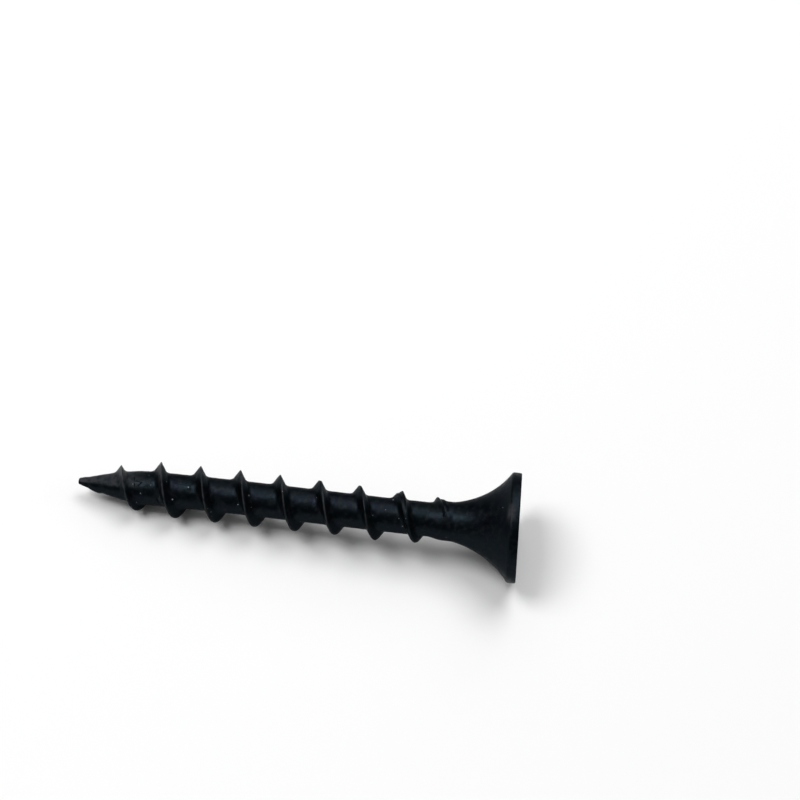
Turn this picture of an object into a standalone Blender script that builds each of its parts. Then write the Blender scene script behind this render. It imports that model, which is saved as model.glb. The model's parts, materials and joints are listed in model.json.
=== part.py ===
"""Coarse-thread drywall screw, 1 1/4 in long, with a bugle head and a cross recess.

Everything is in metres, +Z up. The screw is modelled upright in its own frame: its axis is Z, its tip
is at the origin and its head is on top. An empty then lays it down as it comes to rest on a table,
where the rim of the head and one crest of the thread carry it.
"""

import math

import bmesh
import bpy
from mathutils import Matrix, Vector
from mathutils.geometry import interpolate_bezier

NAME = "drywall_screw"
TOOLS = NAME + "_tools"
MM = 0.001

# Overall length, from the tip to the flat face of the head
SCREW_LENGTH = 31.75 * MM

# Head
FACE_RADIUS = 3.87 * MM  # flat face with its rounded edge
RIM_RADIUS = 3.90 * MM  # the head's widest place, at the rear edge of the rim
RIM_THICKNESS = 0.64 * MM  # band between the face and the flare
RIM_EDGE_ROUNDING = 0.07 * MM
FLARE_LENGTH = 4.1 * MM  # bugle-shaped flare, from the rim to the neck
FLARE_ANGLE = math.radians(57)  # between the flare and the axis, where it leaves the rim
FLARE_RIM_PULL = 2.65 * MM  # how far the flare holds that angle
FLARE_NECK_PULL = 0.4 * MM  # how far it stays in line with the neck

# Shank
NECK_RADIUS = 1.37 * MM  # plain wire between the flare and the thread
NECK_LENGTH = 0.6 * MM
NECK_TAPER_LENGTH = 1.2 * MM  # from the neck down to the rolled root
ROOT_RADIUS = 1.21 * MM  # between the turns of the thread
POINT_LENGTH = 5.2 * MM  # where the shank tapers to its tip
POINT_ANGLE = math.radians(15.7)  # between the point's side and the axis, at the tip
POINT_TIP_PULL = 1.66 * MM  # how far the point holds that angle
POINT_SHANK_PULL = 1.6 * MM  # how far it stays in line with the shank
TIP_RADIUS = 0.21 * MM  # blunt end of the point
TIP_DOME = 0.05 * MM  # how far the blunt end bulges

# Thread: one right-hand ridge, rolled out of the wire
PITCH = 2.88 * MM
THREAD_HEIGHT = 0.75 * MM  # from root to crest, at full depth
CREST_WIDTH = 0.06 * MM
FLANK_ANGLE = math.radians(31)  # between a flank and the plane across the axis
FILLET_RISE = 0.06 * MM  # how high the foot of a flank starts to spread
FILLET_SPREAD = 0.12 * MM  # how far it spreads along the root
FOOT_DEPTH = 0.13 * MM  # how deep the ridge reaches into the blank, so that the two join
FAINTEST_RIDGE = 0.07 * MM  # height that the ridge keeps where it dips under the surface
DIP_DEPTH = 0.105 * MM  # how far down such a ridge lies, so that the surface covers it
THREAD_START = 1.3 * MM  # from the tip to the first trace of the ridge
POINT_THREAD_HEIGHT = 0.51 * MM  # from root to crest, on the point
POINT_THREAD_RISE = 1.4 * MM  # length over which the ridge reaches that height
FULL_THREAD_START = 4.2 * MM  # from the tip to where the ridge grows on to full depth
FULL_THREAD_RISE = 1.6 * MM  # length over which it does so
RUN_OUT_LENGTH = 16.0 * MM  # length over which the crest sinks again, towards the head
RUN_OUT_DROP = 0.50 * MM  # how much lower the crest is by its end
RUN_OUT_BEND = 3  # power by which the crest sinks, where 1 would be a straight slope
RUN_OUT_CREST_WIDTH = 0.36 * MM  # the blunt crest there
BLUNTING_BEND = 4  # power by which the crest gets blunt
THREAD_END_BELOW_FACE = 5.0 * MM  # from the face to the end of the ridge
THREAD_END_FADE = 0.45 * MM  # length of the short slope that ends the ridge
FIRST_CREST_DOWN = 1.955 * MM  # from the tip to where the crest first faces the table

# Cross recess in the face
RECESS_SPAN = 4.6 * MM  # across two opposite wings, at the face
RECESS_WING_WIDTH = 1.05 * MM
RECESS_DEPTH = 2.4 * MM  # down to the end of the wings
RECESS_SIDE_ANGLE = math.radians(26.5)  # between the end of a wing and the axis
RECESS_CORE_RADIUS = 1.12 * MM  # middle of the recess, where the wings meet
RECESS_CORE_TAPER = 0.30 * MM  # how much narrower it is at the end of the wings
RECESS_POINT = 0.3 * MM  # pointed bottom below the wings
RECESS_TURN = math.radians(45)  # between the wings and the vertical
CUT_OVERSHOOT = 0.4 * MM  # how far the cutters pass through what they cut

# How finely round forms are divided
FACETS = 40  # round the axis
FLARE_STEPS = 12
POINT_STEPS = 8
TAPER_STEPS = 4
EDGE_STEPS = 3

# Black phosphate coating
COATING_COLOUR = (0.010, 0.013, 0.017, 1.0)
COATING_ROUGHNESS = 0.5
COATING_METALLIC = 0.4

FACET_ANGLE = 2 * math.pi / FACETS
MERGE_DISTANCE = 0.001 * MM
AXIS = Vector((0.0, 0.0, 1.0))


def new_collection(name):
    collection = bpy.data.collections.new(name)
    bpy.context.scene.collection.children.link(collection)
    return collection


def add_object(name, mesh, collection_name, parent):
    obj = bpy.data.objects.new(name, mesh)
    obj.parent = parent
    bpy.data.collections[collection_name].objects.link(obj)
    return obj


def add_tool(name, mesh, parent):
    """A helper that a Boolean reads, and that isn't part of the screw."""
    tool = add_object(name, mesh, TOOLS, parent)
    tool.hide_render = True
    tool.display_type = "WIRE"
    return tool


def add_boolean(obj, operation, tool):
    boolean = obj.modifiers.new(f"{operation.lower()}_{tool.name}", "BOOLEAN")
    boolean.operation = operation
    boolean.solver = "EXACT"
    boolean.object = tool


def half_plane_point(angle, point):
    """Where a (radius, height) pair lies in the half plane at this angle round the axis."""
    return Vector((point.x * math.cos(angle), point.x * math.sin(angle), point.y))


def half_section_mesh(name, profile):
    """A profile as a line of edges. Half a facet off +X, it turns into a body with a facet facing +X."""
    mesh = bpy.data.meshes.new(name)
    points = [half_plane_point(FACET_ANGLE / 2, point) for point in profile]
    mesh.from_pydata(points, [(i, i + 1) for i in range(len(points) - 1)], [])
    return mesh


def turn_round_axis(obj):
    """Turns the object's half section into a closed round body."""
    turn = obj.modifiers.new("turned", "SCREW")
    turn.axis = "Z"
    turn.steps = FACETS
    turn.render_steps = FACETS
    turn.use_merge_vertices = True
    turn.merge_threshold = MERGE_DISTANCE
    turn.use_smooth_shade = True


def smooth_rise(t):
    """From 0 to 1 with no corner at either end."""
    t = min(max(t, 0.0), 1.0)
    return t * t * (3.0 - 2.0 * t)


def curved_stretch(start, start_pull, end_pull, end, steps):
    """A Bezier stretch of a profile, with its end left out for the next stretch to begin with."""
    return interpolate_bezier(start, start + start_pull, end + end_pull, end, steps + 1)[:-1]


def head_profile():
    """From the middle of the face, round its edge and over the rim, down the flare to the neck."""
    profile = [Vector((0.0, SCREW_LENGTH))]
    corner = Vector((FACE_RADIUS - RIM_EDGE_ROUNDING, SCREW_LENGTH - RIM_EDGE_ROUNDING))
    for step in range(EDGE_STEPS + 1):
        turn = math.pi / 2 * (1 - step / EDGE_STEPS)
        profile.append(corner + RIM_EDGE_ROUNDING * Vector((math.cos(turn), math.sin(turn))))

    rim_rear = Vector((RIM_RADIUS, SCREW_LENGTH - RIM_THICKNESS))
    neck_top = Vector((NECK_RADIUS, rim_rear.y - FLARE_LENGTH))
    leaving = -FLARE_RIM_PULL * Vector((math.sin(FLARE_ANGLE), math.cos(FLARE_ANGLE)))
    arriving = Vector((0.0, FLARE_NECK_PULL))
    profile += curved_stretch(rim_rear, leaving, arriving, neck_top, FLARE_STEPS)
    return profile + [neck_top]


def root_profile(neck_top):
    """Down the plain neck and its taper to the rolled root between the turns of the thread."""
    profile = []
    for step in range(TAPER_STEPS + 1):
        t = step / TAPER_STEPS
        radius = NECK_RADIUS + (ROOT_RADIUS - NECK_RADIUS) * smooth_rise(t)
        profile.append(Vector((radius, neck_top.y - NECK_LENGTH - t * NECK_TAPER_LENGTH)))
    return profile


def point_profile():
    """From the root down the point to the middle of its blunt tip."""
    shank_end = Vector((ROOT_RADIUS, POINT_LENGTH))
    tip_edge = Vector((TIP_RADIUS, TIP_DOME))
    leaving = Vector((0.0, -POINT_SHANK_PULL))
    arriving = POINT_TIP_PULL * Vector((math.sin(POINT_ANGLE), math.cos(POINT_ANGLE)))
    profile = curved_stretch(shank_end, leaving, arriving, tip_edge, POINT_STEPS)
    return profile + [tip_edge, Vector((0.0, 0.0))]


def blank_profile():
    """Half section of the screw before its thread is rolled, from the face down to the tip."""
    head = head_profile()
    return head + root_profile(head[-1]) + point_profile()


def radius_at(profile, height):
    """Radius of a turned profile at this height."""
    for upper, lower in zip(profile, profile[1:]):
        if lower.y <= height < upper.y:
            return lower.x + (upper.x - lower.x) * (height - lower.y) / (upper.y - lower.y)
    return profile[-1].x


def thread_end():
    return SCREW_LENGTH - THREAD_END_BELOW_FACE


def run_out(height):
    """How far the thread has run out here: 0 where it starts to sink, 1 at its end."""
    return max((height - thread_end()) / RUN_OUT_LENGTH + 1, 0.0)


def ridge_height(profile, height):
    """From root to crest: low on the point, full on the shank, and lower again towards the neck."""
    low = POINT_THREAD_HEIGHT * smooth_rise((height - THREAD_START) / POINT_THREAD_RISE)
    growth = smooth_rise((height - FULL_THREAD_START) / FULL_THREAD_RISE)
    grown = low + (THREAD_HEIGHT - POINT_THREAD_HEIGHT) * growth
    neck_rise = max(radius_at(profile, height) - ROOT_RADIUS, 0.0)
    sunk = grown - RUN_OUT_DROP * run_out(height) ** RUN_OUT_BEND - neck_rise
    return max(sunk, 0.0) * smooth_rise((thread_end() - height) / THREAD_END_FADE)


def ridge_section(profile, height):
    """Closed outline of the ridge at this height, as (radius, height) pairs.

    Each point stands over the blank's surface at its own height, so the feet of both flanks stay
    inside the blank on the point and the taper too. Where the ridge starts and ends, it dips under.
    """
    ridge = ridge_height(profile, height)
    kept = max(ridge, FAINTEST_RIDGE)
    dip = DIP_DEPTH * (1.0 - ridge / kept)
    rise = min(FILLET_RISE, kept / 2)
    blunting = run_out(height) ** BLUNTING_BEND
    crest = (CREST_WIDTH + (RUN_OUT_CREST_WIDTH - CREST_WIDTH) * blunting) / 2
    foot = crest + (kept - rise) * math.tan(FLANK_ANGLE)
    spread = foot + FILLET_SPREAD * rise / FILLET_RISE
    half = [(kept, crest), (rise, foot), (-rise, spread), (-FOOT_DEPTH, spread)]
    above = [(lift, height + offset) for lift, offset in half]
    below = [(lift, height - offset) for lift, offset in reversed(half)]
    return [Vector((radius_at(profile, place) + lift - dip, place)) for lift, place in above + below]


def thread_mesh(profile):
    """The ridge, lofted along the helix through one section on each facet edge of the blank."""
    climb = PITCH / FACETS
    first = math.ceil((THREAD_START - FIRST_CREST_DOWN) / climb - 0.5)
    last = math.floor((thread_end() - FIRST_CREST_DOWN) / climb - 0.5)

    bm = bmesh.new()
    rings = []
    for index in range(first, last + 1):
        facet_edge = index + 0.5
        section = ridge_section(profile, FIRST_CREST_DOWN + facet_edge * climb)
        angle = facet_edge * FACET_ANGLE
        rings.append([bm.verts.new(half_plane_point(angle, point)) for point in section])

    for ring, following in zip(rings, rings[1:]):
        for corner in range(len(ring)):
            after = (corner + 1) % len(ring)
            bm.faces.new((ring[corner], following[corner], following[after], ring[after]))
    bm.faces.new(rings[0])
    bm.faces.new(reversed(rings[-1]))
    bmesh.ops.recalc_face_normals(bm, faces=bm.faces)

    mesh = bpy.data.meshes.new("thread_ridge")
    bm.to_mesh(mesh)
    bm.free()
    mesh.shade_smooth()
    return mesh


def bar_mesh(name, length, width, bottom, top):
    bm = bmesh.new()
    bmesh.ops.create_cube(bm, size=1.0)
    bmesh.ops.scale(bm, vec=(length, width, top - bottom), verts=bm.verts)
    bmesh.ops.translate(bm, vec=(0.0, 0.0, (top + bottom) / 2), verts=bm.verts)
    bmesh.ops.rotate(bm, matrix=Matrix.Rotation(RECESS_TURN, 3, AXIS), verts=bm.verts)
    mesh = bpy.data.meshes.new(name)
    bm.to_mesh(mesh)
    bm.free()
    return mesh


def recess_wings(parent):
    """Cutter for the four wings: two crossed bars, trimmed by the cone that their ends follow."""
    top = SCREW_LENGTH + CUT_OVERSHOOT
    bottom = SCREW_LENGTH - RECESS_DEPTH
    slope = math.tan(RECESS_SIDE_ANGLE)
    mouth_radius = RECESS_SPAN / 2 + CUT_OVERSHOOT * slope
    end_radius = RECESS_SPAN / 2 - RECESS_DEPTH * slope
    cone = [(0.0, top), (mouth_radius, top), (end_radius, bottom), (0.0, bottom)]
    wings = add_tool("recess_wings", half_section_mesh("recess_wings", map(Vector, cone)), parent)
    turn_round_axis(wings)

    length = 2 * (mouth_radius + CUT_OVERSHOOT)
    bar_bottom, bar_top = bottom - CUT_OVERSHOOT, top + CUT_OVERSHOOT
    along = bar_mesh("recess_bar", length, RECESS_WING_WIDTH, bar_bottom, bar_top)
    across = bar_mesh("recess_cross_bar", RECESS_WING_WIDTH, length, bar_bottom, bar_top)
    bars = add_tool("recess_bar", along, parent)
    add_boolean(bars, "UNION", add_tool("recess_cross_bar", across, parent))
    add_boolean(wings, "INTERSECT", bars)
    return wings


def recess_core(parent):
    """Cutter for the middle of the recess: a slightly tapered pin with a pointed end."""
    slope = RECESS_CORE_TAPER / RECESS_DEPTH
    top = SCREW_LENGTH + CUT_OVERSHOOT
    bottom = SCREW_LENGTH - RECESS_DEPTH
    pin = [
        (0.0, top),
        (RECESS_CORE_RADIUS + CUT_OVERSHOOT * slope, top),
        (RECESS_CORE_RADIUS - RECESS_CORE_TAPER, bottom),
        (0.0, bottom - RECESS_POINT),
    ]
    core = add_tool("recess_core", half_section_mesh("recess_core", map(Vector, pin)), parent)
    turn_round_axis(core)
    return core


def coating():
    material = bpy.data.materials.new("black_phosphate")
    material.use_nodes = True
    shader = material.node_tree.nodes["Principled BSDF"]
    shader.inputs["Base Color"].default_value = COATING_COLOUR
    shader.inputs["Roughness"].default_value = COATING_ROUGHNESS
    shader.inputs["Metallic"].default_value = COATING_METALLIC
    return material


def build_screw(parent):
    """The whole screw, upright: the turned blank, joined with its thread and cut by its recess."""
    profile = blank_profile()
    screw = add_object(NAME, half_section_mesh(NAME, profile), NAME, parent)
    screw.data.materials.append(coating())
    turn_round_axis(screw)
    add_boolean(screw, "UNION", add_tool("thread_ridge", thread_mesh(profile), parent))
    add_boolean(screw, "DIFFERENCE", recess_wings(parent))
    add_boolean(screw, "DIFFERENCE", recess_core(parent))
    screw.modifiers.new("even_shading", "WEIGHTED_NORMAL")
    return screw


def finished_points(obj):
    """Corners of the object's finished mesh, in its own frame."""
    graph = bpy.context.evaluated_depsgraph_get()
    return [vertex.co.copy() for vertex in obj.evaluated_get(graph).data.vertices]


def resting_tilt(points):
    """Angle between the axis and the table, once the screw rests on its rim and one crest.

    The side of the screw that faces the table is its own +X. Seen from the lowest place of the rim,
    the crest that touches first is the one at the smallest angle to the axis.
    """
    rim = max(points, key=lambda point: point.x)
    ahead = [point for point in points if rim.z - point.z > RIM_THICKNESS]
    return min(math.atan2(rim.x - point.x, rim.z - point.z) for point in ahead)


def lay_down(stand, points):
    """Turns the screw about Y until it rests, with the middle of its outline over the origin."""
    turn = Matrix.Rotation(math.pi / 2 - resting_tilt(points), 3, "Y")
    lying = [turn @ point for point in points]
    low = [min(point[axis] for point in lying) for axis in range(3)]
    high = [max(point[axis] for point in lying) for axis in range(3)]
    stand.rotation_euler = turn.to_euler()
    stand.location = (-(low[0] + high[0]) / 2, -(low[1] + high[1]) / 2, -low[2])


def main():
    for obj in list(bpy.data.objects):
        bpy.data.objects.remove(obj, do_unlink=True)
    new_collection(NAME)
    new_collection(TOOLS)
    stand = bpy.data.objects.new("lying_on_table", None)
    bpy.data.collections[NAME].objects.link(stand)
    screw = build_screw(stand)
    lay_down(stand, finished_points(screw))
    bpy.context.view_layer.update()


main()
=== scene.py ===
# %% [markdown]
# A drywall screw is one piece of steel wire. A press forms its head, two dies roll its thread, and a
# hot bath turns it black. This lesson models all of it as one mesh, the way the maker works: the
# thread first, then the point, then the head, then the cross recess, and last the black coating.
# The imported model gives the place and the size, so the finished screw lies exactly where it lies.

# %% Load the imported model
import json
import math
from functools import reduce

import bpy
import numpy as np
from mathutils import Matrix, Vector, noise
from mathutils.geometry import interpolate_bezier


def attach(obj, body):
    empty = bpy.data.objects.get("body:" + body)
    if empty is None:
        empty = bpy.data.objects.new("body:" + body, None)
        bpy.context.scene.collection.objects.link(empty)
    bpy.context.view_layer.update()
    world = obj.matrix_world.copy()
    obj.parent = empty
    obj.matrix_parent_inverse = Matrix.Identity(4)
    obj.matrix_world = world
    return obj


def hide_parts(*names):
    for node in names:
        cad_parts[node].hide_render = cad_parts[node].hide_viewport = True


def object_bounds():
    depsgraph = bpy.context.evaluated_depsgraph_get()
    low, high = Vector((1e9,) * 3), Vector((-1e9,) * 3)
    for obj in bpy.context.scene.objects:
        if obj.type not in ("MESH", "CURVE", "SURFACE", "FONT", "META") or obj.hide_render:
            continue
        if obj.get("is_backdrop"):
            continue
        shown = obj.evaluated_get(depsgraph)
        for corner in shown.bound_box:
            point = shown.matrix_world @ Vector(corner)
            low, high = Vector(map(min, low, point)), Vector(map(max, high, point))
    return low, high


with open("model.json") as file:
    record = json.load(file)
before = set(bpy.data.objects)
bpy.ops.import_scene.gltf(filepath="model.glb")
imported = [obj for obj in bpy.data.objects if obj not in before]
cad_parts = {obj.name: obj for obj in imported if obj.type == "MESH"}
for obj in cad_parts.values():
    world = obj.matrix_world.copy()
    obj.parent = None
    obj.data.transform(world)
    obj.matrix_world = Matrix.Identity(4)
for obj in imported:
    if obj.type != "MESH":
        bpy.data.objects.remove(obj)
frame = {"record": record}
CAD_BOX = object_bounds()
MM = 0.001
print("packed model, corners in mm:", [[round(value / MM, 2) for value in corner] for corner in CAD_BOX])

# %% [markdown]
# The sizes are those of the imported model. The screw is modelled upright, with its tip at the origin
# and its axis along Z, because every operator then works round one simple axis. Its own +X is the side
# that will face the table.

# %% Sizes
SCREW_LENGTH = 31.75 * MM

FACE_RADIUS = 3.87 * MM
RIM_RADIUS = 3.90 * MM
RIM_THICKNESS = 0.64 * MM
RIM_FRONT_ROUNDING = 0.10 * MM
RIM_REAR_ROUNDING = 0.16 * MM
FLARE_LENGTH = 4.1 * MM
FLARE_ANGLE = math.radians(57)
FLARE_RIM_PULL = 2.42 * MM
FLARE_NECK_PULL = 0.2 * MM

NECK_RADIUS = 1.40 * MM
NECK_LENGTH = 0.6 * MM
NECK_TAPER_LENGTH = 1.2 * MM
ROOT_RADIUS = 1.21 * MM
POINT_LENGTH = 5.2 * MM
POINT_ANGLE = math.radians(15.7)
POINT_TIP_PULL = 1.66 * MM
POINT_SHANK_PULL = 1.6 * MM
TIP_RADIUS = 0.21 * MM
TIP_DOME = 0.05 * MM

PITCH = 2.88 * MM
THREAD_HEIGHT = 0.75 * MM
FLANK_ANGLE = math.radians(31)
CREST_HALF_WIDTH = 0.03 * MM
FIRST_CREST_DOWN = 1.955 * MM
THREAD_START = 1.3 * MM
POINT_THREAD_HEIGHT = 0.51 * MM
POINT_THREAD_RISE = 1.4 * MM
FULL_THREAD_START = 4.2 * MM
FULL_THREAD_RISE = 1.6 * MM
THREAD_END = SCREW_LENGTH - 5.0 * MM
THREAD_END_FADE = 0.45 * MM
RUN_OUT_LENGTH = 16.0 * MM
RUN_OUT_DROP = 0.50 * MM
RUN_OUT_BEND = 3

NECK_TOP = SCREW_LENGTH - RIM_THICKNESS - FLARE_LENGTH
print(f"neck ends {NECK_TOP / MM:.2f} mm from the tip, thread ends at {THREAD_END / MM:.2f} mm")

# %% [markdown]
# Blender's operators act on whatever is selected, and loading the model leaves it selected. So every
# step starts with nothing selected but its own object. In edit mode, faces and edges are then picked
# by their place.

# %% Small helpers for working by operators


def take(obj):
    """Goes to object mode and selects this object alone."""
    if bpy.context.object and bpy.context.object.mode != "OBJECT":
        bpy.ops.object.mode_set(mode="OBJECT")
    bpy.ops.object.select_all(action="DESELECT")
    obj.select_set(True)
    bpy.context.view_layer.objects.active = obj


def edit(obj, select="SELECT"):
    """Opens this object in edit mode with all of it, or none of it, selected."""
    take(obj)
    bpy.ops.object.mode_set(mode="EDIT")
    bpy.ops.mesh.select_mode(type="VERT")
    bpy.ops.mesh.select_all(action=select)


def pick(obj, kind, test):
    """Selects, in edit mode, each vertex, edge or face all of whose corners pass the test."""
    edit(obj, "DESELECT")
    bpy.ops.mesh.select_mode(type=kind)
    bpy.ops.object.mode_set(mode="OBJECT")
    points = obj.data.vertices
    items = {"VERT": points, "EDGE": obj.data.edges, "FACE": obj.data.polygons}[kind]
    for item in items:
        corners = [item.index] if kind == "VERT" else item.vertices
        item.select = all(test(points[corner].co) for corner in corners)
    bpy.ops.object.mode_set(mode="EDIT")


def extrude(step):
    bpy.ops.mesh.extrude_region_move(TRANSFORM_OT_translate={"value": tuple(step)})


def resize(factors, center):
    bpy.ops.transform.resize(value=factors, center_override=center)


def apply_modifier(obj, name, kind, **settings):
    take(obj)
    modifier = obj.modifiers.new(name, kind)
    for key, value in settings.items():
        setattr(modifier, key, value)
    bpy.ops.object.modifier_apply(modifier=modifier.name)


def draw_line(name, points):
    """A line of edges: one vertex, extruded from point to point as by hand."""
    bpy.ops.object.select_all(action="DESELECT")
    bpy.ops.mesh.primitive_plane_add(size=MM, location=points[0])
    line = bpy.context.object
    line.name = name
    bpy.ops.object.mode_set(mode="EDIT")
    bpy.ops.mesh.merge(type="CENTER")
    for start, end in zip(points, points[1:]):
        extrude(end - start)
    bpy.ops.object.mode_set(mode="OBJECT")
    line.data.transform(Matrix.Translation(line.location))
    line.location = (0.0, 0.0, 0.0)
    return line


def count(obj):
    triangles = sum(len(face.vertices) - 2 for face in obj.data.polygons)
    return f"{obj.name}: {len(obj.data.vertices)} vertices, {triangles} triangles"


# %% [markdown]
# The thread is one ridge that winds up the wire. On the real screw it is squeezed out between two
# grooved dies, so the wire between its turns is thinner than it was. A Boolean could join a winding
# ridge with a round bar, but it leaves a ragged seam along the foot. The Screw tool is better: it winds
# a line that is one pitch long, from the middle of one root to the next, so each turn's end meets the
# next turn's start. The whole surface is then one skin of four-sided faces that follow the crest. The
# tool gets slow over many turns, so it winds one, and an Array stacks copies of that turn.

# %% Draw the section of one pitch, wind it once and stack the turns
STEPS_PER_TURN = 144
CREST_STEPS = 2
FLANK_STEPS = 8
FILLET_STEPS = 3
ROOT_STEPS = 8
SPARE_TURNS = 2

DRAWN_FOOT = 0.42 * MM
DRAWN_FILLET = 0.54 * MM
MERGE_DISTANCE = 0.001 * MM


def half_section_offsets():
    """Distances from the crest line: over the crest, down the flank, round the fillet, along the root."""
    stops = [0.0, CREST_HALF_WIDTH, DRAWN_FOOT, DRAWN_FILLET, PITCH / 2]
    offsets = [0.0]
    for start, end, steps in zip(stops, stops[1:], [CREST_STEPS, FLANK_STEPS, FILLET_STEPS, ROOT_STEPS]):
        offsets += [start + (end - start) * (step + 1) / steps for step in range(steps)]
    return offsets


turns_above = math.ceil((NECK_TOP - FIRST_CREST_DOWN) / PITCH) + 1
top_crest = FIRST_CREST_DOWN + turns_above * PITCH
half = half_section_offsets()
offsets = [-offset for offset in reversed(half)] + half[1:]
section_points = [Vector((ROOT_RADIUS, 0.0, top_crest + offset)) for offset in offsets]
screw = draw_line("drywall_screw_black", section_points)

edit(screw)
bpy.ops.mesh.screw(steps=STEPS_PER_TURN, turns=1, center=(0.0, 0.0, 0.0), axis=(0.0, 0.0, -1.0))
bpy.ops.object.mode_set(mode="OBJECT")
print("one turn,", count(screw))
apply_modifier(
    screw,
    "turns",
    "ARRAY",
    count=turns_above + SPARE_TURNS,
    use_relative_offset=False,
    use_constant_offset=True,
    constant_offset_displace=(0.0, 0.0, -PITCH),
)
edit(screw)
bpy.ops.mesh.remove_doubles(threshold=MERGE_DISTANCE)
bpy.ops.object.mode_set(mode="OBJECT")
print(count(screw))

# %% [markdown]
# Next the straight rod gets its true shape. Each of its points knows how far it is from the crest
# line, so one rule can move them all: the wire tapers to its point, the ridge rises out of the point,
# keeps its height along the shank and runs out towards the neck. The rolling dies let go of the wire
# unevenly there, so the last crests are ragged: flattened, doubled and leaning. That can be seen in
# the photograph, turn by turn, so a short list gives it at places along the thread.

# %% Blank under the thread
POINT_STEPS = 24
TAPER_STEPS = 8


def smooth_rise(t):
    """From 0 to 1 with no corner at either end."""
    t = np.clip(t, 0.0, 1.0)
    return t * t * (3.0 - 2.0 * t)


def blank_outline():
    """Heights and radii of the wire under the thread, from the tip up to the end of the neck."""
    tip_edge, shank = Vector((TIP_RADIUS, TIP_DOME)), Vector((ROOT_RADIUS, POINT_LENGTH))
    tip_handle = tip_edge + POINT_TIP_PULL * Vector((math.sin(POINT_ANGLE), math.cos(POINT_ANGLE)))
    shank_handle = shank - Vector((0.0, POINT_SHANK_PULL))
    curve = interpolate_bezier(tip_edge, tip_handle, shank_handle, shank, POINT_STEPS)
    outline = [(point.y, point.x) for point in curve]
    taper_start = NECK_TOP - NECK_LENGTH - NECK_TAPER_LENGTH
    for step in range(TAPER_STEPS + 1):
        t = step / TAPER_STEPS
        radius = ROOT_RADIUS + (NECK_RADIUS - ROOT_RADIUS) * smooth_rise(t)
        outline.append((taper_start + t * NECK_TAPER_LENGTH, radius))
    return np.array(outline + [(NECK_TOP, NECK_RADIUS)]).T


BLANK_HEIGHTS, BLANK_RADII = blank_outline()


def blank_radius(height):
    return np.interp(height, BLANK_HEIGHTS, BLANK_RADII)


for height in (1, 3, 10, 26):
    print(f"blank radius at {height} mm: {float(blank_radius(height * MM)) / MM:.3f} mm")

# %% Height of the ridge, and the ragged crests of its run-out
# Each row, in mm: the crest's height on the screw, by how much it is raised, half its width, by how
# much its upper edge is raised and its lower edge lowered, and the depth of the groove in it.
RAGGED_CRESTS = (
    (14.0, 0.00, 0.030, 0.00, 0.00),
    (16.6, -0.03, 0.040, 0.00, 0.00),
    (17.4, -0.05, 0.090, 0.00, 0.00),
    (18.8, -0.06, 0.050, 0.00, 0.00),
    (20.2, -0.01, 0.060, 0.00, 0.00),
    (21.7, 0.07, 0.050, 0.01, 0.00),
    (22.6, 0.02, 0.100, 0.05, 0.00),
    (23.1, -0.01, 0.180, 0.10, 0.08),
    (23.5, 0.00, 0.160, 0.04, 0.07),
    (23.9, 0.02, 0.140, 0.00, 0.04),
    (24.5, 0.11, 0.060, 0.00, 0.00),
    (25.2, 0.05, 0.120, -0.04, 0.02),
    (25.9, 0.06, 0.170, -0.10, 0.08),
    (26.6, 0.05, 0.160, -0.08, 0.12),
)
ragged_columns = np.array(RAGGED_CRESTS).T * MM
RAGGED_HEIGHT, RAGGED_LIFT, RAGGED_HALF_WIDTH, RAGGED_LEAN, RAGGED_GROOVE = ragged_columns


def ridge_height(height):
    """From root to crest: low on the point, full on the shank, lower again towards the neck."""
    low = POINT_THREAD_HEIGHT * smooth_rise((height - THREAD_START) / POINT_THREAD_RISE)
    growth = smooth_rise((height - FULL_THREAD_START) / FULL_THREAD_RISE)
    grown = low + (THREAD_HEIGHT - POINT_THREAD_HEIGHT) * growth
    run_out = np.maximum((height - THREAD_END) / RUN_OUT_LENGTH + 1, 0.0)
    neck_rise = np.maximum(blank_radius(height) - ROOT_RADIUS, 0.0)
    sunk = grown - RUN_OUT_DROP * run_out**RUN_OUT_BEND - neck_rise
    ragged = np.interp(height, RAGGED_HEIGHT, RAGGED_LIFT)
    return np.maximum(sunk + ragged, 0.0) * smooth_rise((THREAD_END - height) / THREAD_END_FADE)


for height in (2.0, 3.4, 4.8, 10.0, 22.7, 25.3):
    print(f"ridge at {height} mm: {float(ridge_height(height * MM)) / MM:.2f} mm high")

# %% Move every point of the rod to its place
CREST_ROUNDING = 0.018 * MM
FILLET_RISE = 0.11 * MM
FILLET_SPREAD = 0.42 * MM
LEAST_SPACING = 0.15 * MM
NECK_CUT = 27.01 * MM
NECK_FADE = 0.8 * MM

WAVE_SIZE, WAVE_DEPTH = 1.3 * MM, 0.007 * MM
DENT_SIZE, DENT_DEPTH = 0.36 * MM, 0.009 * MM
CREST_WAVE_SIZE, CREST_WAVE_DEPTH = 0.55 * MM, 0.022 * MM
TIP_WEAR_LENGTH, TIP_WEAR_SIZE, TIP_WEAR_DEPTH = 1.1 * MM, 0.22 * MM, 0.030 * MM


def coordinates(obj):
    flat = np.empty(len(obj.data.vertices) * 3)
    obj.data.vertices.foreach_get("co", flat)
    return flat.reshape(-1, 3)


def put_coordinates(obj, places):
    obj.data.vertices.foreach_set("co", places.ravel())
    obj.data.update()


def waves(places, size):
    """Smooth unevenness between about -1 and 1, with bumps of about this size."""
    return np.array([noise.noise(Vector(place) / size) for place in places])


def crest_line(places):
    """The height of the nearest crest straight above or below each point, and the distance to it."""
    angle = np.arctan2(places[:, 1], places[:, 0])
    line = FIRST_CREST_DOWN + PITCH * angle / (2 * math.pi)
    nearest = line + PITCH * np.round((places[:, 2] - line) / PITCH)
    return nearest, places[:, 2] - nearest


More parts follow.
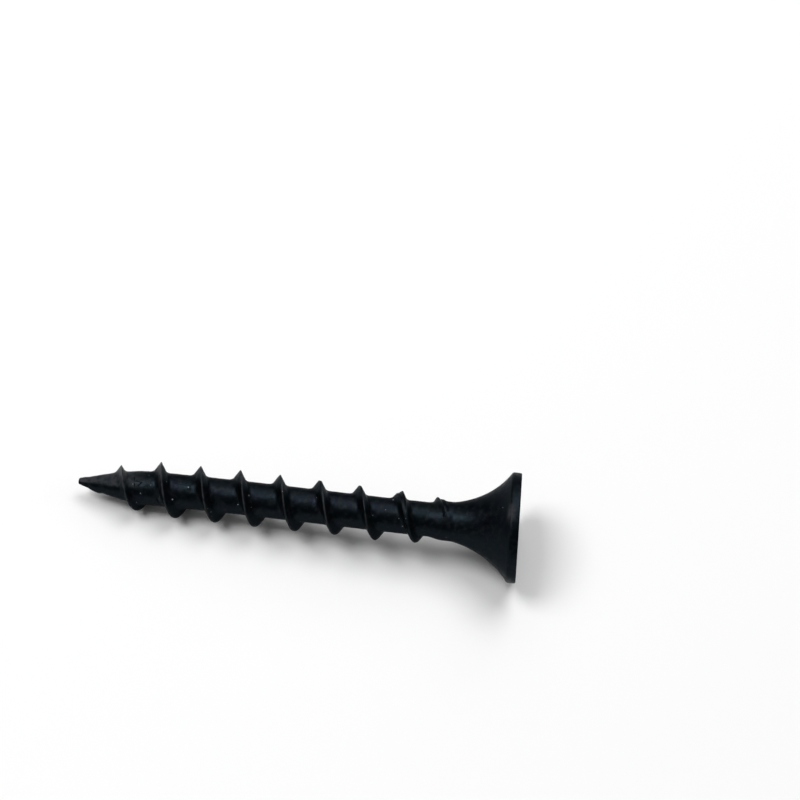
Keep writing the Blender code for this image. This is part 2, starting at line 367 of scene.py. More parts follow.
def section(away, side, ridge, half_width, lean, groove):
    """Where a point that was drawn this far from the crest line lies on the ridge's real section."""
    spacing = np.maximum(ridge, LEAST_SPACING)
    rise = np.minimum(FILLET_RISE, spacing / 2)
    foot = half_width + (spacing - rise) * math.tan(FLANK_ANGLE)
    toe = foot + FILLET_SPREAD * rise / FILLET_RISE
    drawn = [0.0, CREST_HALF_WIDTH, DRAWN_FOOT, DRAWN_FILLET, PITCH / 2]
    wanted = [0.0, half_width, foot, toe, PITCH / 2]
    shares = [np.clip((away - a) / (b - a), 0.0, 1.0) for a, b in zip(drawn, drawn[1:])]
    distance = sum(share * (d - c) for share, c, d in zip(shares, wanted, wanted[1:]))

    crest_edge = spacing - CREST_ROUNDING + lean * side
    over_crest = spacing + (crest_edge - spacing) * shares[0] ** 2
    over_crest += lean * side * (shares[0] - shares[0] ** 2)
    over_crest -= groove * (1.0 - shares[0])
    lift = over_crest + (rise - crest_edge) * shares[1]
    lift = np.where(shares[1] >= 1.0, rise * (1.0 - shares[2]) ** 3, lift)
    return distance, lift * ridge / spacing


# Each row: height on the screw in mm, angle round it in degrees, size and depth in mm.
DENTS = (
    (1.25, 306, 0.75, 0.100),
    (0.30, 126, 0.55, 0.045),
    (0.75, 235, 0.30, -0.030),
    (0.95, 205, 0.25, 0.020),
    (4.32, 188, 0.22, -0.022),
    (4.60, 190, 0.20, 0.014),
    (4.86, 200, 0.24, -0.018),
    (5.20, 178, 0.30, 0.014),
    (5.35, 205, 0.25, -0.012),
    (8.20, 194, 0.30, 0.012),
    (8.45, 204, 0.25, -0.012),
    (10.5, 190, 0.30, 0.010),
    (10.9, 200, 0.25, -0.010),
)


def dent_lift(places, height, angle, size, depth):
    """A shallow round dent, or a swelling where its depth is above 0, at this height and angle."""
    turned = math.radians(angle)
    radius = float(blank_radius(height * MM))
    middle = np.array((radius * math.cos(turned), radius * math.sin(turned), height * MM))
    gap = np.linalg.norm(places - middle, axis=1)
    return depth * MM * smooth_rise(1.0 - gap / (size * MM))


places = coordinates(screw)
crest, offset = crest_line(places)
side = np.sign(offset)
ridge = ridge_height(crest)
half_width = np.interp(crest, RAGGED_HEIGHT, RAGGED_HALF_WIDTH)
lean = np.interp(crest, RAGGED_HEIGHT, RAGGED_LEAN) * (crest < THREAD_END)
groove = np.interp(crest, RAGGED_HEIGHT, RAGGED_GROOVE)
distance, lift = section(np.abs(offset), side, ridge, half_width, lean, groove)

height = crest + side * distance
radius = blank_radius(height) + lift
direction = places[:, :2] / np.linalg.norm(places[:, :2], axis=1)[:, None]
rough = np.column_stack([direction * radius[:, None], height])
share_of_full = lift / THREAD_HEIGHT
below_neck = smooth_rise((NECK_CUT - height) / NECK_FADE)
radius += below_neck * WAVE_DEPTH * waves(rough, WAVE_SIZE)
radius += below_neck * DENT_DEPTH * waves(rough, DENT_SIZE)
radius += below_neck * share_of_full**2 * CREST_WAVE_DEPTH * waves(rough, CREST_WAVE_SIZE)
near_tip = smooth_rise(1.0 - height / TIP_WEAR_LENGTH)
radius += near_tip * TIP_WEAR_DEPTH * waves(rough, TIP_WEAR_SIZE)
for dent in DENTS:
    radius += dent_lift(rough, *dent)
put_coordinates(screw, np.column_stack([direction * radius[:, None], height]))
print(f"thread shaped, widest {radius.max() / MM:.3f} mm from the axis")

# %% [markdown]
# The rod is still open at both ends and too long. A cut with Bisect leaves the ring of edges along it
# selected. At the tip that ring is extruded inwards in three short steps, which rounds the blunt end,
# and then merged to one point. At the neck a few points lie almost on the cut, so the ring keeps one
# or two needless edges, each 2 microns long. The head grows out of those too, which leaves a fin a few
# microns wide along it, far too thin to see.

# %% Cut the rod to length and round its tip
SLIVER = 0.012 * MM
DOME_STEPS = 3
CUT_THRESHOLD = 0.0001 * MM


def true_up(obj, height, radius):
    """Sets the ring of points at this height to an exact circle."""
    places = coordinates(obj)
    ring = np.abs(places[:, 2] - height) < MERGE_DISTANCE
    places[ring, :2] *= (radius / np.linalg.norm(places[ring, :2], axis=1))[:, None]
    places[ring, 2] = height
    put_coordinates(obj, places)


edit(screw)
bpy.ops.mesh.bisect(
    plane_co=(0.0, 0.0, TIP_DOME), plane_no=(0.0, 0.0, 1.0), clear_inner=True, threshold=CUT_THRESHOLD
)
bpy.ops.mesh.remove_doubles(threshold=SLIVER)
for step in range(DOME_STEPS):
    before = math.cos(math.pi / 2 * step / DOME_STEPS)
    after = math.cos(math.pi / 2 * (step + 1) / DOME_STEPS)
    fall = math.sin(math.pi / 2 * (step + 1) / DOME_STEPS) - math.sin(math.pi / 2 * step / DOME_STEPS)
    extrude((0.0, 0.0, -TIP_DOME * fall))
    if step < DOME_STEPS - 1:
        resize((after / before, after / before, 1.0), (0.0, 0.0, 0.0))
bpy.ops.mesh.merge(type="CENTER")

bpy.ops.mesh.select_all(action="SELECT")
bpy.ops.mesh.bisect(
    plane_co=(0.0, 0.0, NECK_CUT), plane_no=(0.0, 0.0, 1.0), clear_outer=True, threshold=CUT_THRESHOLD
)
bpy.ops.mesh.remove_doubles(threshold=SLIVER)
bpy.ops.object.mode_set(mode="OBJECT")
true_up(screw, NECK_CUT, float(blank_radius(NECK_CUT)))
print(count(screw))

# %% [markdown]
# The head is a bugle: its flare leaves the neck in line with it and opens faster and faster towards
# the rim. It grows out of the ring that the second cut left. Each step extrudes the ring upwards and
# resizes it to the next point of the outline, as one would draw a vase. The corners of the rim are
# slightly rounded, because the press fills its die's corners only almost.

# %% Draw the head's outline and grow the head along it
FLARE_STEPS = 44
CORNER_STEPS = 6
BAND_STEPS = 4
FLAT_RADIUS = 3.3 * MM
CORNER_ROOM = 1.5 * RIM_REAR_ROUNDING


def rounded_corner(before, corner, after, size):
    """The points of a corner that is rounded over this distance along both of its sides."""
    start = corner + (before - corner).normalized() * size
    end = corner + (after - corner).normalized() * size
    points = []
    for step in range(CORNER_STEPS + 1):
        t = step / CORNER_STEPS
        points.append(start * (1 - t) ** 2 + corner * 2 * t * (1 - t) + end * t**2)
    return points


def head_outline():
    """(radius, height) pairs from the neck up the flare, over the rim and onto the flat face."""
    neck_top = Vector((NECK_RADIUS, NECK_TOP))
    rim_rear = Vector((RIM_RADIUS, SCREW_LENGTH - RIM_THICKNESS))
    face_edge = Vector((FACE_RADIUS, SCREW_LENGTH))
    flat = Vector((FLAT_RADIUS, SCREW_LENGTH))
    neck_handle = neck_top + Vector((0.0, FLARE_NECK_PULL))
    flare_direction = Vector((math.sin(FLARE_ANGLE), math.cos(FLARE_ANGLE)))
    rim_handle = rim_rear - FLARE_RIM_PULL * flare_direction
    flare = interpolate_bezier(neck_top, neck_handle, rim_handle, rim_rear, FLARE_STEPS)
    rear = rounded_corner(rim_handle, rim_rear, face_edge, RIM_REAR_ROUNDING)
    front = rounded_corner(rim_rear, face_edge, flat, RIM_FRONT_ROUNDING)
    band = [rear[-1].lerp(front[0], step / BAND_STEPS) for step in range(1, BAND_STEPS)]
    below_corner = [point for point in flare if (point - rim_rear).length > CORNER_ROOM]
    return below_corner + rear + band + front + [flat]


outline = head_outline()
pick(screw, "VERT", lambda place: abs(place.z - NECK_CUT) < MERGE_DISTANCE)
ring = Vector((float(blank_radius(NECK_CUT)), NECK_CUT))
for point in outline:
    extrude((0.0, 0.0, point.y - ring.y))
    resize((point.x / ring.x, point.x / ring.x, 1.0), (0.0, 0.0, point.y))
    ring = point
bpy.ops.mesh.edge_face_add()
bpy.ops.mesh.select_all(action="SELECT")
bpy.ops.mesh.normals_make_consistent(inside=False)
bpy.ops.object.mode_set(mode="OBJECT")
print(f"head grown in {len(outline)} steps")
print(count(screw))

# %% [markdown]
# The face has a cross recess for the driver. A punch makes it: four wings whose outer ends slope
# inwards, round a core with a pointed end. So the recess is cut with a copy of that punch. It is two
# boxes, narrowed at their lower end, and a cone, joined and then taken away from the head by Booleans.

# %% Make the punch and cut the cross recess
RECESS_SPAN = 4.6 * MM
RECESS_WING_WIDTH = 1.05 * MM
RECESS_WING_END_WIDTH = 0.86 * MM
RECESS_DEPTH = 2.4 * MM
RECESS_SIDE_ANGLE = math.radians(26.5)
RECESS_CORE_RADIUS = 1.12 * MM
RECESS_CORE_END_RADIUS = 0.82 * MM
RECESS_POINT = 0.3 * MM
RECESS_TURN = math.radians(45)
PUNCH_ROUNDING = 0.10 * MM
MOUTH_ROUNDING = 0.05 * MM
CORE_SIDES = 64
PUNCH_EXCESS = 1.0 * MM
FACE_HEIGHT = SCREW_LENGTH
RECESS_BOTTOM = FACE_HEIGHT - RECESS_DEPTH


def wing_bar(name, turn):
    """A box across the head, as long and wide as two opposite wings, narrowed at its lower end."""
    middle = (0.0, 0.0, (FACE_HEIGHT + RECESS_BOTTOM) / 2)
    bpy.ops.object.select_all(action="DESELECT")
    bpy.ops.mesh.primitive_cube_add(size=RECESS_DEPTH, location=middle)
    bar = bpy.context.object
    bar.name = name
    bar.data.transform(Matrix.Translation(bar.location))
    bar.location = (0.0, 0.0, 0.0)

    edit(bar)
    resize((RECESS_SPAN / RECESS_DEPTH, RECESS_WING_WIDTH / RECESS_DEPTH, 1.0), middle)
    pick(bar, "FACE", lambda place: place.z < RECESS_BOTTOM + MERGE_DISTANCE)
    end_span = RECESS_SPAN - 2 * RECESS_DEPTH * math.tan(RECESS_SIDE_ANGLE)
    end_width = RECESS_WING_END_WIDTH
    resize((end_span / RECESS_SPAN, end_width / RECESS_WING_WIDTH, 1.0), (0.0, 0.0, RECESS_BOTTOM))
    bpy.ops.mesh.bevel(offset=PUNCH_ROUNDING, segments=3, affect="EDGES")
    pick(bar, "FACE", lambda place: place.z > FACE_HEIGHT - MERGE_DISTANCE)
    widening = 2 * PUNCH_EXCESS * math.tan(RECESS_SIDE_ANGLE)
    extrude((0.0, 0.0, PUNCH_EXCESS))
    resize((1.0 + widening / RECESS_SPAN, 1.0, 1.0), (0.0, 0.0, FACE_HEIGHT))
    bpy.ops.mesh.select_all(action="SELECT")
    bpy.ops.transform.rotate(value=turn, orient_axis="Z", center_override=(0.0, 0.0, 0.0))
    bpy.ops.object.mode_set(mode="OBJECT")
    return bar


def core_pin():
    """The tapered middle of the punch, drawn out to a point below the wings."""
    depth = RECESS_DEPTH + PUNCH_EXCESS
    slope = (RECESS_CORE_RADIUS - RECESS_CORE_END_RADIUS) / RECESS_DEPTH
    bpy.ops.object.select_all(action="DESELECT")
    bpy.ops.mesh.primitive_cone_add(
        vertices=CORE_SIDES,
        radius1=RECESS_CORE_END_RADIUS,
        radius2=RECESS_CORE_RADIUS + slope * PUNCH_EXCESS,
        depth=depth,
        location=(0.0, 0.0, RECESS_BOTTOM + depth / 2),
    )
    pin = bpy.context.object
    pin.name = "punch_core"
    pin.data.transform(Matrix.Translation(pin.location))
    pin.location = (0.0, 0.0, 0.0)
    pick(pin, "FACE", lambda place: place.z < RECESS_BOTTOM + MERGE_DISTANCE)
    extrude((0.0, 0.0, -RECESS_POINT))
    bpy.ops.mesh.merge(type="CENTER")
    bpy.ops.object.mode_set(mode="OBJECT")
    return pin


def combine(obj, operation, tool):
    """Applies a Boolean with the tool, and removes the tool."""
    apply_modifier(obj, operation.lower(), "BOOLEAN", operation=operation, solver="EXACT", object=tool)
    bpy.data.objects.remove(tool)


punch = wing_bar("punch", RECESS_TURN)
combine(punch, "UNION", wing_bar("punch_cross_bar", RECESS_TURN + math.pi / 2))
combine(punch, "UNION", core_pin())
combine(screw, "DIFFERENCE", punch)
print(count(screw))

# %% Ease the mouth of the recess
MOUTH_REACH = 2.6 * MM


def at_mouth(place):
    return place.z > FACE_HEIGHT - MERGE_DISTANCE and math.hypot(place.x, place.y) < MOUTH_REACH


pick(screw, "EDGE", at_mouth)
bpy.ops.mesh.bevel(offset=MOUTH_ROUNDING, segments=2, affect="EDGES")
bpy.ops.object.mode_set(mode="OBJECT")
print(count(screw))

# %% [markdown]
# Wear can't be painted by eye over a thousand faces, but the shape knows where it happens. A value is
# stored at each point: high along the sharp crests and at the very tip, where the coat is rubbed, and
# falling to 0 beside them. The same value carries painted light: a painted sheen on the upper side of
# the point, a painted highlight on the tip-side flanks of the first turns, and a painted highlight and
# a painted floor reflection at two spots of the rim's rear corner. The crests along the upper side get
# no wear, a painted shade that keeps them dark there. The material reads the value later to turn the
# coat towards grey steel. It is stored now, while the screw is still straight and each place is easy to
# tell.

# %% Store where the coating is rubbed, and where sheen, highlights and shade are painted
CREST_WEAR = 0.38
CREST_WEAR_REACH = 0.048 * MM
CREST_WEAR_PEAK = 1.5
LEAST_WORN_RIDGE = 0.1 * MM
BLUNT_CRESTS_START = 18.5 * MM
BLUNT_CRESTS_LENGTH = 3.5 * MM
BLUNT_CREST_WEAR = 0.10
# Painted shade: no crest wear on the upper side, so the crests stay dark along the top edge.
DARK_CREST_SIDE = math.radians(126)
DARK_CREST_START = 4.0 * MM
DARK_CREST_EDGE, DARK_CREST_EDGE_WIDTH = 0.75, 0.2
FACING_EDGE, FACING_EDGE_WIDTH = 0.25, 0.35
# Wear at the very tip, and a painted sheen along the point's upper side, both on the side towards the
# lamps.
TIP_WEAR_AND_SHEEN = 0.60
TIP_WEAR_AND_SHEEN_END = 1.8 * MM
POINT_SHEEN = 0.33
POINT_SHEEN_END = 5.5 * MM
TIP_LIT_SIDE = math.radians(152)
# Painted highlight on the tip-side flanks of the first turns, on the side towards the lamps.
FLANK_HIGHLIGHT = 0.95
FLANK_HIGHLIGHT_END = 10.0 * MM
FLANK_LIT_SIDE = math.radians(150)
FLANK_REACH = 0.42 * MM
# Painted highlight and painted floor reflection at two spots of the rim's rear corner.
RIM_SHEEN = 0.40
RIM_SHEEN_REACH = 0.30 * MM
RIM_SHEEN_PEAK = 1.5
RIM_SHEEN_SPOTS = ((197, 14), (286, 18))


def facing(angle, middle, edge=FACING_EDGE, width=FACING_EDGE_WIDTH):
    """1 on the side of the screw that faces this angle, 0 on the far side. The edge is a cosine."""
    return smooth_rise((np.cos(angle - middle) - edge) / width)


def wear_and_sheen_at(places):
    """Rubbed wear and painted sheen at each point of the upright screw, from 0 to 1."""
    crest, offset = crest_line(places)
    angle = np.arctan2(places[:, 1], places[:, 0])
    from_axis = np.hypot(places[:, 0], places[:, 1])
    blunt = smooth_rise((crest - BLUNT_CRESTS_START) / BLUNT_CRESTS_LENGTH)
    on_thread = (ridge_height(crest) > LEAST_WORN_RIDGE) & (places[:, 2] < NECK_CUT)
    crests = np.clip(CREST_WEAR_PEAK - np.abs(offset) / CREST_WEAR_REACH, 0.0, 1.0) * on_thread
    crests *= CREST_WEAR + (BLUNT_CREST_WEAR - CREST_WEAR) * blunt
    # Painted shade: the crests on the upper side are left dark.
    crest_shade = facing(angle, DARK_CREST_SIDE, DARK_CREST_EDGE, DARK_CREST_EDGE_WIDTH)
    crests *= 1.0 - crest_shade * smooth_rise((crest - DARK_CREST_START) / PITCH)

    # Wear at the very tip and a painted sheen on the point's upper side, only on the side towards the
    # lamps.
    tip = TIP_WEAR_AND_SHEEN * smooth_rise(1.0 - places[:, 2] / TIP_WEAR_AND_SHEEN_END)
    tip = np.maximum(tip, POINT_SHEEN * smooth_rise(2.0 - 2.0 * places[:, 2] / POINT_SHEEN_END))
    tip *= facing(angle, TIP_LIT_SIDE)
    # Painted highlight: the tip-side flanks of the first turns are lightened on the side towards the
    # lamps.
    flanks = (offset < 0.0) * smooth_rise(1.0 + offset / FLANK_REACH) * on_thread
    flanks *= smooth_rise(1.0 - crest / FLANK_HIGHLIGHT_END) * facing(angle, FLANK_LIT_SIDE)

    # Painted light on the rim: a painted highlight at 197 degrees and a painted floor reflection at 286.
    rear_corner = np.hypot(from_axis - RIM_RADIUS, places[:, 2] - SCREW_LENGTH + RIM_THICKNESS)
    on_corner = smooth_rise(RIM_SHEEN_PEAK - rear_corner / RIM_SHEEN_REACH)
    rim = np.zeros(len(places))
    for middle, half_angle in RIM_SHEEN_SPOTS:
        away = (np.degrees(angle) - middle + 180) % 360 - 180
        rim = np.maximum(rim, on_corner * smooth_rise(1.0 - np.abs(away) / half_angle))
    return np.max([crests, tip, flanks * FLANK_HIGHLIGHT, rim * RIM_SHEEN], axis=0)


def store_value(obj, name, values):
    attribute = obj.data.attributes.new(name, "FLOAT", "POINT")
    attribute.data.foreach_set("value", values)


wear_and_sheen = wear_and_sheen_at(coordinates(screw))
store_value(screw, "wear_and_sheen", wear_and_sheen)
print(f"{int((wear_and_sheen > CREST_WEAR / 2).sum())} of {len(wear_and_sheen)} points are rubbed")

# %% [markdown]
# A press seldom strikes quite square, and rolling leaves the wire a little bent. In the photograph the
# head leans by about two degrees, its upper rim towards the point, and the shank sways by a hair. A
# lean is a shift along the axis that grows with the distance from it, so every point of the flare and
# the rim takes its share of that shift. The sway is one long wave along the wire.

# %% Let the head lean and the wire sway
LEAN_ANGLE = math.radians(2.2)
LEAN_TOWARDS = math.radians(126)
LEAN_SHIFT = 0.05 * MM
SWAY = 0.05 * MM
SWAY_LENGTH = 28 * MM
SWAY_START = 3 * MM

places = coordinates(screw)
lean_direction = np.array((math.cos(LEAN_TOWARDS), math.sin(LEAN_TOWARDS)))
toward = places[:, :2] @ lean_direction
head_share = smooth_rise((places[:, 2] - NECK_TOP) / FLARE_LENGTH)
sway = SWAY * np.sin((places[:, 2] - SWAY_START) / SWAY_LENGTH * 2 * math.pi)
places[:, :2] += sway[:, None] * lean_direction
places[:, 2] -= head_share * (LEAN_SHIFT + toward * math.tan(LEAN_ANGLE))
put_coordinates(screw, places)
print(f"upper rim set back by {(LEAN_SHIFT + RIM_RADIUS * math.tan(LEAN_ANGLE)) / MM:.2f} mm")

# %% [markdown]
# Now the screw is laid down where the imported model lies. The record names one place on it exactly: the
# flat face of the head, with its direction. From that, the turn and the tip's place follow, and both go
# into the mesh, so that the object itself stays at the origin.

# %% Lay the screw down in its place
MOUNT_ABOVE_AXIS = 3.2 * MM
SMOOTH_BELOW = math.radians(35)

mount = frame["record"]["mounts"][0]
axis = Vector(mount["axis"]).normalized()
to_table = Vector((axis.z, 0.0, -axis.x))
sideways = axis.cross(to_table)
turn = Matrix((to_table, sideways, axis)).transposed()
face_middle = Vector(mount["pos_m"]) + MOUNT_ABOVE_AXIS * to_table
tip = face_middle - SCREW_LENGTH * axis
take(screw)
bpy.ops.object.shade_smooth_by_angle(angle=SMOOTH_BELOW)
screw.data.transform(Matrix.Translation(tip) @ turn.to_4x4())
screw.data.update()
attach(screw, "root")
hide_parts("drywall_screw")
print(f"axis rises by {math.degrees(math.asin(axis.z)):.2f} degrees")
print("tip at", [round(v / MM, 2) for v in tip], "mm")

# %% [markdown]
# The photograph was taken from above and in front, with a fairly long lens, and turned a little. The
# camera's place is given the way a photographer would: the point it looks at, how far off it is, how
# steeply it looks down and how much it is rolled.

# %% Camera
LENS = 72.0
SENSOR_WIDTH = 36.0
AIM = Vector((5.895 * MM, 12.348 * MM, 0.0))
CAMERA_DISTANCE = 123.16 * MM
CAMERA_ELEVATION = math.radians(54.035)
CAMERA_AZIMUTH = math.radians(1.092)
CAMERA_ROLL = math.radians(7.645)

around = Matrix.Rotation(CAMERA_AZIMUTH, 3, "Z")
lift_up = Matrix.Rotation(math.pi / 2 - CAMERA_ELEVATION, 3, "X")
roll = Matrix.Rotation(CAMERA_ROLL, 3, "Z")
camera_turn = around @ lift_up @ roll
camera_data = bpy.data.cameras.new("camera")
camera_data.lens = LENS
camera_data.sensor_width = SENSOR_WIDTH
camera_data.sensor_fit = "HORIZONTAL"
camera_data.clip_start = MM
camera = bpy.data.objects.new("camera", camera_data)
bpy.context.collection.objects.link(camera)
camera.rotation_euler = camera_turn.to_euler()
camera.location = AIM + camera_turn @ Vector((0.0, 0.0, CAMERA_DISTANCE))
bpy.context.scene.camera = camera
print("camera at", [round(v / MM, 1) for v in camera.location], "mm")

# %% [markdown]
# A material is a small net of nodes, and its arithmetic is easier to read as arithmetic. So one small
# class holds a socket: adding or multiplying two of them adds the Math node, and one method adds any
# other node.

# %% Shader arithmetic


class Wire:
    """A socket of a material's nodes, with the usual arithmetic."""

    def __init__(self, tree, socket=None):
        self.tree = tree
        self.socket = socket

    def add_node(self, kind, settings, sockets, output=0):
        """A new node: its settings first, then the values or wires of its sockets."""
        node = self.tree.nodes.new(kind)
        for name, value in settings.items():
            setattr(node, name, value)
        for key, value in sockets.items():
            if isinstance(value, Wire):
                self.tree.links.new(value.socket, node.inputs[key])
            else:
                node.inputs[key].default_value = value
        return Wire(self.tree, node.outputs[output])

    def math(self, operation, *values):
        return self.add_node("ShaderNodeMath", {"operation": operation}, dict(enumerate(values)))

    def __add__(self, other):
        return self.math("ADD", self, other)

    def __mul__(self, other):
        return self.math("MULTIPLY", self, other)

    def __sub__(self, other):
        return self.math("SUBTRACT", self, other)

    def __rsub__(self, other):
        return self.math("SUBTRACT", other, self)

    __radd__ = __add__
    __rmul__ = __mul__

    def ramp(self, low, high):
        """0 below the low value, 1 above the high one, and a smooth rise between them."""
        sockets = {"Value": self, "From Min": low, "From Max": high}
        return self.add_node("ShaderNodeMapRange", {"interpolation_type": "SMOOTHSTEP"}, sockets)

    def noise(self, place, size, detail=2.0, roughness=0.5):
        """Cloudy noise around 0.5, whose clouds are about this large."""
        sockets = {"Vector": place, "Scale": 1.0 / size, "Detail": detail, "Roughness": roughness}
        return self.add_node("ShaderNodeTexNoise", {}, sockets)

    def at_least(self, other):
        return self.math("MAXIMUM", self, other)

    def at_most(self, other):
        return self.math("MINIMUM", self, other)

    def vector_math(self, operation, *values, **sockets):
        """A Vector Math node. Distances and products come out of its second socket."""
        output = "Value" if operation in ("DISTANCE", "DOT_PRODUCT") else "Vector"
        inputs = dict(enumerate(values)) | sockets
        return self.add_node("ShaderNodeVectorMath", {"operation": operation}, inputs, output=output)

    def distance(self, place, spot):
        return self.vector_math("DISTANCE", place, spot)

    def distance_to_line(self, place, start, end):
        """How far the place is from the straight line between these two points."""
        along = end - start
        from_start = self.vector_math("SUBTRACT", place, start)
        share = self.vector_math("DOT_PRODUCT", from_start, along / along.length_squared)
        nearest = self.vector_math("SCALE", along, Scale=share.at_least(0.0).at_most(1.0))
        return self.vector_math("DISTANCE", from_start, nearest)

    def attribute(self, name):
        return self.add_node("ShaderNodeAttribute", {"attribute_name": name}, {}, output="Fac")

    def blend(self, share, first, second):
        """Colour that goes from the first to the second as the share goes from 0 to 1."""
        sockets = {0: share, 6: first, 7: second}
        return self.add_node("ShaderNodeMix", {"data_type": "RGBA"}, sockets, output=2)


def highest(masks):
    """At each place, the highest of these masks."""
    return reduce(Wire.at_least, masks)


def new_material(name):
    """An empty material with its node tree and its output node."""
    material = bpy.data.materials.new(name)
    material.use_nodes = True
    material.node_tree.nodes.clear()
    return material, Wire(material.node_tree), material.node_tree.nodes.new("ShaderNodeOutputMaterial")


# %% [markdown]
# A few small marks lie exactly where the photograph shows them: grains of white dust, short pale
# scratches, and dark scores that are pressed into the coating. A mark is given by its height on the
# screw and its angle round it. A ray that is cast from there towards the axis finds its place on the
# surface, which is surer than working it out for a ridge that winds and a head that leans.

# %% Find the places of the dust, the scratches and the scores
# Each grain: height on the screw in mm, angle round it in degrees, radius in mm, and how white it is.
DUST_GRAINS = (
    (7.17, 239, 0.075, 1.0),
    (22.7, 150, 0.060, 0.9),
    (4.82, 232, 0.055, 0.8),
    (23.6, 247, 0.055, 0.8),
    (12.6, 201, 0.085, 0.6),
    (11.85, 234, 0.060, 0.8),
    (15.0, 188, 0.050, 0.6),
    (4.5, 274, 0.050, 0.6),
    (16.3, 286, 0.050, 0.5),
    (10.0, 259, 0.060, 0.5),
    (9.8, 245, 0.045, 0.5),
    (10.05, 272, 0.045, 0.4),
    (15.7, 272, 0.050, 0.5),
    (6.65, 188, 0.050, 0.5),
    (23.3, 222, 0.050, 0.5),
    (23.8, 218, 0.045, 0.4),
    (12.85, 235, 0.060, 0.3),
    (8.2, 194, 0.070, 0.3),
    (5.5, 200, 0.050, 0.3),
    (5.2, 162, 0.050, 0.3),
    (4.2, 203, 0.045, 0.3),
    (17.35, 183, 0.050, 0.4),
    (21.45, 221, 0.045, 0.4),
    (22.3, 198, 0.045, 0.3),
    (26.7, 267, 0.050, 0.3),
    (30.45, 188, 0.050, 0.5),
)
# Each stroke: height and angle of its start and of its end, half its width in mm, and its strength.
SCRATCHES = (
    ((4.42, 189), (4.79, 197), 0.030, 0.30),
    ((4.79, 197), (4.97, 197), 0.030, 0.25),
    ((5.00, 205), (5.35, 195), 0.030, 0.20),
    ((6.20, 234), (6.42, 268), 0.035, 0.95),
    ((6.12, 243), (6.37, 254), 0.030, 0.80),
    ((6.16, 250), (6.34, 272), 0.025, 0.60),
)
SCORES = (
    ((4.20, 177), (4.35, 207), 0.050, 0.95),
    ((4.35, 207), (4.41, 232), 0.040, 0.70),
    ((4.41, 190), (4.83, 195), 0.045, 0.90),
    ((4.83, 195), (4.61, 207), 0.045, 0.90),
    ((6.00, 246), (6.13, 263), 0.060, 1.00),
    ((6.13, 263), (6.26, 270), 0.055, 0.90),
)
RAY_START = 8.0 * MM


def on_surface(height, angle):
    """The place on the screw at this height, in mm from the tip, and at this angle, in degrees."""
    turned = math.radians(angle)
    outwards = Vector((math.cos(turned), math.sin(turned), 0.0))
    start = tip + turn @ (RAY_START * outwards + Vector((0.0, 0.0, height * MM)))
    found, place, normal, face = screw.ray_cast(start, -(turn @ outwards))
    return place


def strokes_on_surface(strokes):
    placed = []
    for start, end, width, share in strokes:
        placed.append((on_surface(*start), on_surface(*end), width * MM, share))
    return placed


grains = [(on_surface(height, angle), size * MM, share) for height, angle, size, share in DUST_GRAINS]
scratches = strokes_on_surface(SCRATCHES)
scores = strokes_on_surface(SCORES)
print(f"{len(grains)} grains of dust, {len(scratches)} scratches and {len(scores)} scores placed")

# %% [markdown]
# Black phosphate is a coat of tiny crystals that is soaked with oil. It is very dark, a little blue,
# and has a soft sheen, never a mirror's. A dark paint under a clear gloss would go milky along every
# edge that is seen at a slant. So the coat is made as a dark metal, whose base colour is the small
# share of light that it mirrors, and a grey specular tint holds that share down at a slant. Several
# things keep it from looking like paint: clouds that drift between teal and lilac, paler blotches
# with another roughness, a fine grain and pits in the bump, and the stored value, where the coat turns
# from mirroring metal to dull grey steel. That value is real wear on the crests and the tip, and
# painted sheen, painted highlights and a painted floor reflection elsewhere. The dust and the scores
# go on last.

# %% Black phosphate
COAT_TEAL = (0.0058, 0.0094, 0.0120, 1.0)
COAT_LILAC = (0.0068, 0.0083, 0.0130, 1.0)
COAT_PALE = (0.0120, 0.0146, 0.0168, 1.0)
COAT_BLACK = (0.0010, 0.0012, 0.0020, 1.0)
# Grey of bare steel, also the colour of the painted sheen, highlights and floor reflection in the stored
# value.
RUBBED_STEEL_AND_SHEEN = (0.058, 0.059, 0.065, 1.0)
DUST = (0.28, 0.30, 0.31, 1.0)
COAT_METAL = 0.86
RUBBED_AND_SHEEN_DULLING = 4.0
BARE_SHINE = 0.05
SLANT_TINT = (0.52, 0.53, 0.54, 1.0)
COAT_ROUGHNESS = 0.42
BLOTCH_ROUGHNESS = 0.60
RUBBED_AND_SHEEN_POLISH = 0.05
CLOUD_SIZE, CLOUD_RAMP = 1.6 * MM, (0.44, 0.70)
BLOTCH_SIZE, BLOTCH_RAMP = 0.34 * MM, (0.48, 0.68)
PIT_SIZE, PIT_RAMP = 0.35 * MM, (0.05, 0.16)
GRAIN_SIZE = 0.045 * MM
GRAIN_DEPTH = 0.004 * MM
BUMP_STRENGTH = 0.6
BLOTCH_HEIGHT, PIT_DEPTH, DUST_HEIGHT, SCORE_DEPTH = 3.0, 1.6, 3.0, 5.0
RUBBED_AND_SHEEN_LEAST, RUBBED_AND_SHEEN_PATCHES, RUBBED_AND_SHEEN_RAMP = 0.5, 0.7, (0.32, 0.62)
GRAIN_CORE, STROKE_CORE = 0.45, 0.3


def dust_at(wire, place):
    """The whiteness of a grain in its middle, 0 away from every grain."""
    masks = []
    for spot, size, share in grains:
        away = wire.distance(place, spot)
        masks.append((1.0 - away.ramp(GRAIN_CORE * size, size)) * share)
    return highest(masks)


def strokes_at(wire, place, strokes):
    """The strength of a stroke on its line, 0 away from every stroke."""
    masks = []
    for start, end, width, share in strokes:
        away = wire.distance_to_line(place, start, end)
        masks.append((1.0 - away.ramp(STROKE_CORE * width, width)) * share)
    return highest(masks)


